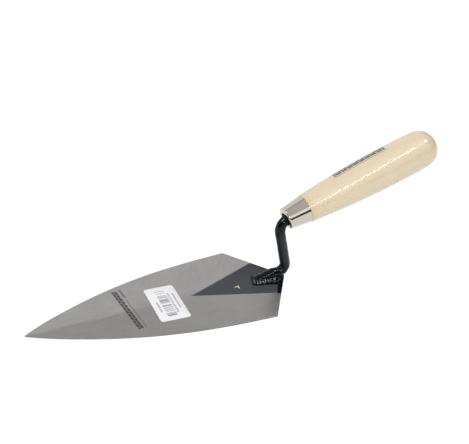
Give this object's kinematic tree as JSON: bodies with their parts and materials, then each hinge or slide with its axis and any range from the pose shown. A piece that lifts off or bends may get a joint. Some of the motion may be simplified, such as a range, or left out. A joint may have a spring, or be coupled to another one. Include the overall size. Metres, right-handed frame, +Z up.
{
  "type": "brick trowel",
  "caption": "Brick trowel: flat kite-shaped steel blade with bowed sides, welded goose-neck tang, tapered ferrule and turned wooden handle for spreading mortar.",
  "frame": {"origin": "bottom centre of the whole tool's box, on the plane of the blade's underside", "axes": "+X from the blade's tip towards the handle, along the tool's length; +Z up, out of the blade's top face; the tool is symmetric about Y = 0"},
  "size_m": [0.4102, 0.1142, 0.1298],
  "materials": {
    "blade_steel": "ground and brushed, satin, with a dark grey painted patch at the heel",
    "black_lacquer": "thick dipped gloss black lacquer",
    "plated_steel": "bright nickel plate",
    "pale_wood": "pale hardwood under clear gloss lacquer",
    "label_paper": "white sticker with plain printed bars"
  },
  "bodies": {
    "root": {"blade": "blade_steel", "tang": "black_lacquer", "weld_bead_left": "black_lacquer", "weld_bead_right": "black_lacquer", "ferrule": "plated_steel", "handle": "pale_wood", "label": "label_paper"}
  },
  "joints": []
}
